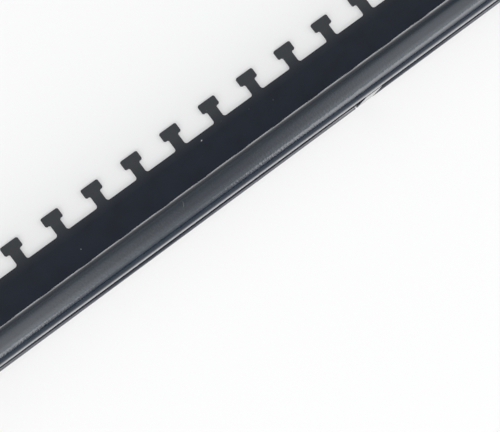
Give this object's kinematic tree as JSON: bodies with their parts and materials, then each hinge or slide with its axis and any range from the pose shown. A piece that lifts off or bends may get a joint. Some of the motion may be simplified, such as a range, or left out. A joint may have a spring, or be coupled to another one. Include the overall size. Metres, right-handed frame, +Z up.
{
  "type": "horizontal cable manager",
  "caption": "Black 19-inch rack cable manager, one unit high: folded tray with a row of T-shaped tie tabs and a round bar above its front edge.",
  "frame": {"origin": "middle of the footprint, on the plane that the tray rests on", "axes": "+X along the rack's width, +Y from the bar towards the tie tabs (rear), +Z up"},
  "size_m": [0.4826, 0.0434, 0.0441],
  "materials": {
    "sheet_paint": "black powder coat, fine texture",
    "bar_paint": "black powder coat, smooth, semi-gloss",
    "black_steel": "black zinc plated",
    "zinc_steel": "zinc plated"
  },
  "bodies": {
    "root": {"tray": "sheet_paint", "front_bar": "bar_paint", "left_bracket": "sheet_paint", "right_bracket": "sheet_paint", "post_rivet_nut": "zinc_steel", "post_screw": "black_steel", "left_bar_plug": "zinc_steel", "left_bar_washer": "black_steel", "left_bar_screw": "black_steel", "left_front_nut": "zinc_steel", "left_front_tray_screw": "black_steel", "left_rear_nut": "zinc_steel", "left_rear_tray_screw": "black_steel", "right_bar_plug": "zinc_steel", "right_bar_washer": "black_steel", "right_bar_screw": "black_steel", "right_front_nut": "zinc_steel", "right_front_tray_screw": "black_steel", "right_rear_nut": "zinc_steel", "right_rear_tray_screw": "black_steel"}
  },
  "joints": []
}
